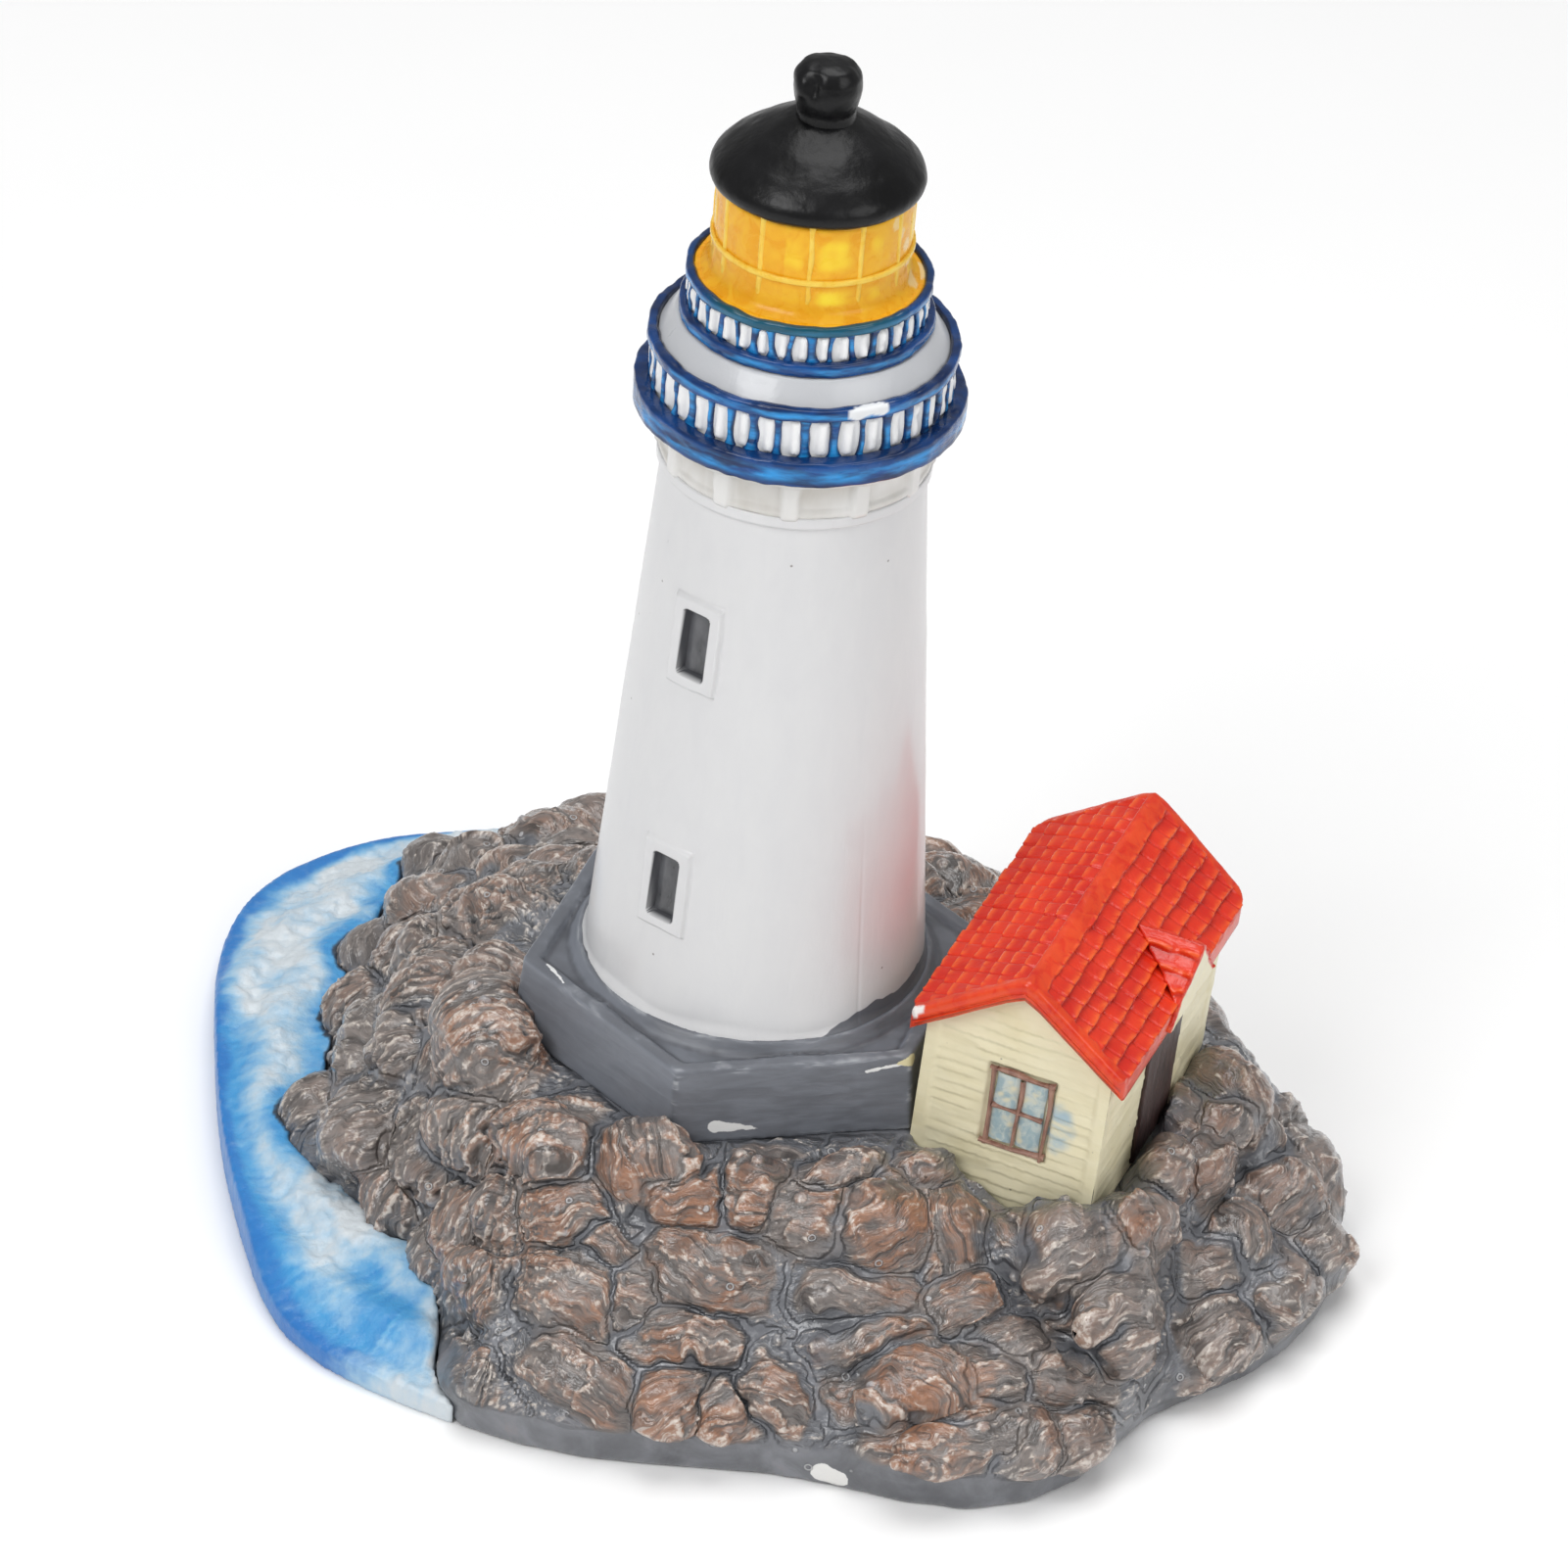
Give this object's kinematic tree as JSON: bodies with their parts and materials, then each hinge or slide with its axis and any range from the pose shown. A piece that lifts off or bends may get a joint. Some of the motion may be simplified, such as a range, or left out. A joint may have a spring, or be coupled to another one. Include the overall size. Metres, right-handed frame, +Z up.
{
  "type": "lighthouse figurine",
  "caption": "Hand-painted resin lighthouse ornament: a white tower with railed galleries and a domed lantern, beside a red-roofed cottage on a rock base edged by sea.",
  "frame": {"origin": "on the ground under the axis of the tower, in the flat underside of the rock base", "axes": "+Z up along the tower, +X towards the cottage's side of the base, +Y to the back, with the sea on the -X side"},
  "size_m": [0.1219, 0.1099, 0.1349],
  "materials": {
    "rock": "dry-brushed, satin varnish",
    "sea": "satin paint",
    "plinth_grey": "satin paint",
    "tower_white": "semi-gloss paint",
    "gallery_white": "semi-gloss paint",
    "window_grey": "satin paint",
    "rail_blue": "gloss paint",
    "lantern_amber": "gloss paint",
    "lantern_pale": "gloss paint",
    "roof_black": "semi-gloss paint",
    "cottage_cream": "satin paint",
    "cottage_red": "semi-gloss paint",
    "cottage_brown": "satin paint",
    "cottage_glass_paint": "satin paint"
  },
  "bodies": {
    "root": {"rock_mound": "rock", "sea_apron": "sea", "tower_plinth": "plinth_grey", "tower_shaft": "tower_white", "tower_window_panes": "window_grey", "corbel_ring": "tower_white", "main_gallery": "gallery_white", "main_gallery_lower_rail": "rail_blue", "main_gallery_balusters": "rail_blue", "main_gallery_upper_rail": "rail_blue", "lantern_gallery": "gallery_white", "lantern_gallery_lower_rail": "rail_blue", "lantern_gallery_balusters": "rail_blue", "lantern_gallery_upper_rail": "rail_blue", "lantern_deck": "lantern_amber", "lantern_room": "lantern_amber", "lantern_mid_ring": "lantern_pale", "lantern_glazing_bars": "lantern_pale", "lantern_roof": "roof_black", "roof_finial": "roof_black", "cottage_walls": "cottage_cream", "cottage_roof": "cottage_red", "cottage_porch_roof": "cottage_red", "cottage_door": "cottage_brown", "cottage_window_frame": "cottage_brown", "cottage_window_panes": "cottage_glass_paint"}
  },
  "joints": []
}
